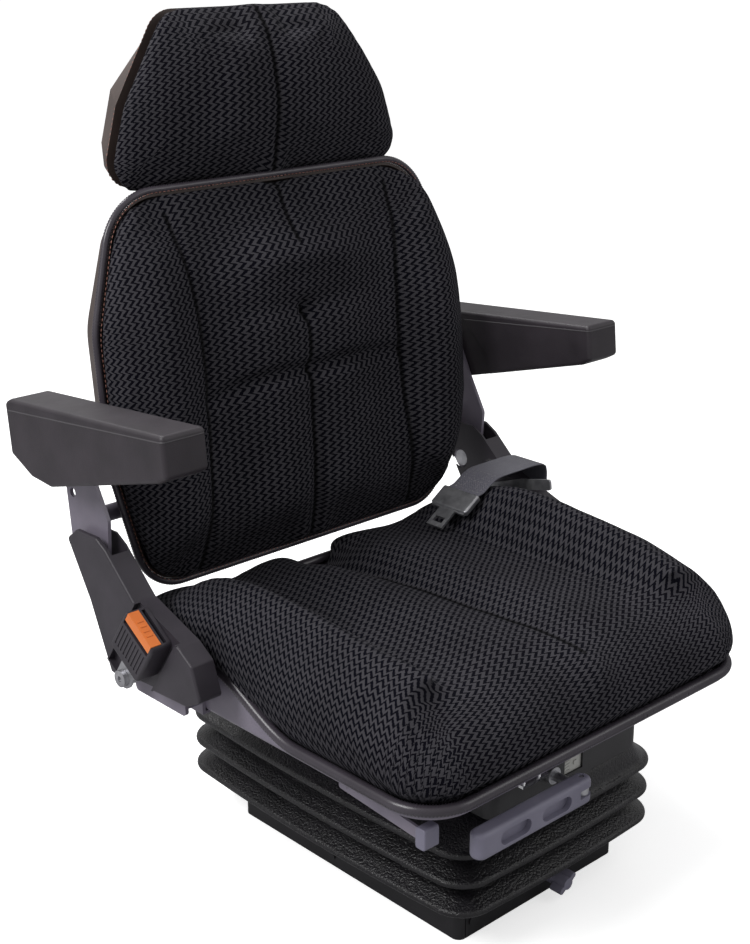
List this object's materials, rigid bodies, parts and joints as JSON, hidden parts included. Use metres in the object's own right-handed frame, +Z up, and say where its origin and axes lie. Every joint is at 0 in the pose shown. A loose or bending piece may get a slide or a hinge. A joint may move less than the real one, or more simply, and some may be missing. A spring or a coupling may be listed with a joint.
{
  "type": "tractor suspension seat",
  "caption": "Tractor suspension seat with fabric cushions, folding armrests, lap belt, slide rails and a scissor base inside a ribbed bellows",
  "frame": {"origin": "centre of the base's underside", "axes": "+X driver's left, +Y rear, +Z up"},
  "size_m": [0.644, 0.574, 0.8816],
  "materials": {
    "black_steel": "satin",
    "grey_steel": "satin",
    "bright_steel": "brushed",
    "chrome": "polished",
    "bellows_rubber": "grained",
    "trim_rubber": "ribbed",
    "pad_plastic": "grained",
    "shell_plastic": "grained",
    "grey_plastic": "satin",
    "orange_plastic": "gloss",
    "knit_fabric": "zigzag knit",
    "webbing": "woven"
  },
  "bodies": {
    "base": {"base_tray": "black_steel", "base_brackets": "bright_steel", "lower_tracks": "bright_steel", "bellows": "bellows_rubber"},
    "knob": {"wing_knob": "grey_plastic"},
    "outer_arm": {"outer_arms": "black_steel"},
    "inner_arm": {"inner_arms": "black_steel"},
    "roller_ll": {"roller_lower_left": "grey_plastic"},
    "roller_lr": {"roller_lower_right": "grey_plastic"},
    "roller_ul": {"roller_upper_left": "grey_plastic"},
    "roller_ur": {"roller_upper_right": "grey_plastic"},
    "crosshead": {"spring_crosshead": "bright_steel", "tension_springs": "bright_steel"},
    "damper": {"damper_body": "black_steel"},
    "damper_piston": {"damper_rod": "chrome"},
    "upper": {"upper_frame": "black_steel", "upper_tracks": "black_steel", "upper_housing": "black_steel", "weight_scale": "grey_plastic", "hook": "chrome", "lower_rails": "black_steel"},
    "spindle": {"adjuster_spindle": "bright_steel"},
    "handle": {"adjuster_handle": "grey_plastic", "handle_pin": "bright_steel"},
    "seat": {"upper_rails": "bright_steel", "rail_slides": "grey_plastic", "seat_pan": "grey_steel", "pan_trim": "trim_rubber", "seat_cushion": "knit_fabric", "hinge_plate_left": "grey_steel", "hinge_plate_right": "grey_steel", "recline_bolts": "bright_steel", "hinge_cover_left": "pad_plastic", "hinge_cover_right": "pad_plastic", "cover_bolts": "chrome", "belt_retractor": "pad_plastic", "belt_webbing": "webbing", "belt_tongue": "bright_steel", "buckle_bolt": "bright_steel"},
    "lever": {"slide_lever": "grey_steel", "slide_lever_tab": "grey_plastic"},
    "release": {"recline_lever": "bright_steel"},
    "back": {"backrest_shell": "shell_plastic", "backrest_trim": "trim_rubber", "backrest_cushion": "knit_fabric", "backrest_frame": "grey_steel", "armrest_bolts": "bright_steel", "headrest_guides": "black_steel"},
    "head": {"headrest_cushion": "knit_fabric", "headrest_shell": "shell_plastic", "headrest_posts": "chrome"},
    "arm_left": {"armrest_left": "pad_plastic"},
    "arm_right": {"armrest_right": "pad_plastic"},
    "buckle": {"buckle_stalk": "bright_steel", "buckle_body": "pad_plastic"},
    "button": {"buckle_button": "orange_plastic"}
  },
  "joints": [
    {"name": "suspension_travel", "type": "slide", "parent": "base", "child": "upper", "axis": [0, 0, 1], "range_m": [-0.08, 0], "stiffness_N_per_m": 6500, "springref_m": 0.08, "deforming": ["bellows"]},
    {"name": "outer_arm_hinge", "type": "hinge", "parent": "base", "child": "outer_arm", "pos_m": [0, -0.13, 0.016], "axis": [1, 0, 0], "range_deg": [-17, 0]},
    {"name": "inner_arm_hinge", "type": "hinge", "parent": "upper", "child": "inner_arm", "pos_m": [0, -0.13, 0.116], "axis": [1, 0, 0], "range_deg": [0, 17]},
    {"name": "roller_lower_left_turn", "type": "hinge", "parent": "inner_arm", "child": "roller_ll", "pos_m": [0.11, 0.13153, 0.016], "axis": [1, 0, 0], "continuous": true},
    {"name": "roller_lower_right_turn", "type": "hinge", "parent": "inner_arm", "child": "roller_lr", "pos_m": [-0.11, 0.13153, 0.016], "axis": [1, 0, 0], "continuous": true},
    {"name": "roller_upper_left_turn", "type": "hinge", "parent": "outer_arm", "child": "roller_ul", "pos_m": [0.0935, 0.13153, 0.116], "axis": [1, 0, 0], "continuous": true},
    {"name": "roller_upper_right_turn", "type": "hinge", "parent": "outer_arm", "child": "roller_ur", "pos_m": [-0.0935, 0.13153, 0.116], "axis": [1, 0, 0], "continuous": true},
    {"name": "weight_spindle", "type": "hinge", "parent": "upper", "child": "spindle", "pos_m": [-0.028, -0.202, 0.168], "axis": [0, 1, 0], "range_deg": [-170, 0]},
    {"name": "handle_fold", "type": "hinge", "parent": "spindle", "child": "handle", "pos_m": [-0.028, -0.241, 0.168], "axis": [0, 0, 1], "range_deg": [0, 90]},
    {"name": "crosshead_slide", "type": "slide", "parent": "upper", "child": "crosshead", "axis": [0, 1, 0], "range_m": [-0.002, 0.0002], "deforming": ["tension_springs"]},
    {"name": "damper_hinge", "type": "hinge", "parent": "base", "child": "damper", "pos_m": [0, -0.12, 0.016], "axis": [1, 0, 0], "range_deg": [-20, 0]},
    {"name": "damper_stroke", "type": "slide", "parent": "damper", "child": "damper_piston", "axis": [0, 0.9088, 0.4173], "range_m": [-0.0215, 0]},
    {"name": "fore_aft", "type": "slide", "parent": "upper", "child": "seat", "axis": [0, 1, 0], "range_m": [-0.075, 0.075]},
    {"name": "slide_lever_hinge", "type": "hinge", "parent": "seat", "child": "lever", "pos_m": [-0.215, -0.11, 0.193], "axis": [1, 0, 0], "range_deg": [-6, 0], "stiffness_Nm_per_rad": 0.8, "springref_deg": 22.92},
    {"name": "recline", "type": "hinge", "parent": "seat", "child": "back", "pos_m": [0, 0.205, 0.33], "axis": [1, 0, 0], "range_deg": [-30, 5]},
    {"name": "recline_lever_hinge", "type": "hinge", "parent": "seat", "child": "release", "pos_m": [0.259, 0.144, 0.302], "axis": [1, 0, 0], "range_deg": [-8, 0], "stiffness_Nm_per_rad": 0.5, "springref_deg": 22.92},
    {"name": "armrest_left_hinge", "type": "hinge", "parent": "back", "child": "arm_left", "pos_m": [0.296, 0.24214, 0.4729], "axis": [1, 0, 0], "range_deg": [-90, 0]},
    {"name": "armrest_right_hinge", "type": "hinge", "parent": "back", "child": "arm_right", "pos_m": [-0.296, 0.24214, 0.4729], "axis": [1, 0, 0], "range_deg": [-90, 0]},
    {"name": "headrest_slide", "type": "slide", "parent": "back", "child": "head", "axis": [0, 0.1045, 0.9945], "range_m": [0, 0.06]},
    {"name": "buckle_swivel", "type": "hinge", "parent": "seat", "child": "buckle", "pos_m": [-0.293, 0.138, 0.241], "axis": [1, 0, 0], "range_deg": [-4, 4]},
    {"name": "buckle_button", "type": "slide", "parent": "buckle", "child": "button", "axis": [0, 0.5592, -0.829], "range_m": [0, 0.004], "stiffness_N_per_m": 500, "springref_m": -0.003},
    {"name": "wing_knob_turn", "type": "hinge", "parent": "base", "child": "knob", "pos_m": [0.016, -0.18, 0.018], "axis": [0, 1, 0], "range_deg": [-180, 180]}
  ],
  "couplings": [
    {"joint": "outer_arm_hinge", "follows": "suspension_travel", "rad_per_m": 3.6715},
    {"joint": "inner_arm_hinge", "follows": "suspension_travel", "rad_per_m": -3.6715},
    {"joint": "damper_hinge", "follows": "suspension_travel", "rad_per_m": 4.1996},
    {"joint": "damper_stroke", "follows": "suspension_travel", "ratio": 0.2594},
    {"joint": "crosshead_slide", "follows": "weight_spindle", "m_per_rad": 0.000477}
  ]
}
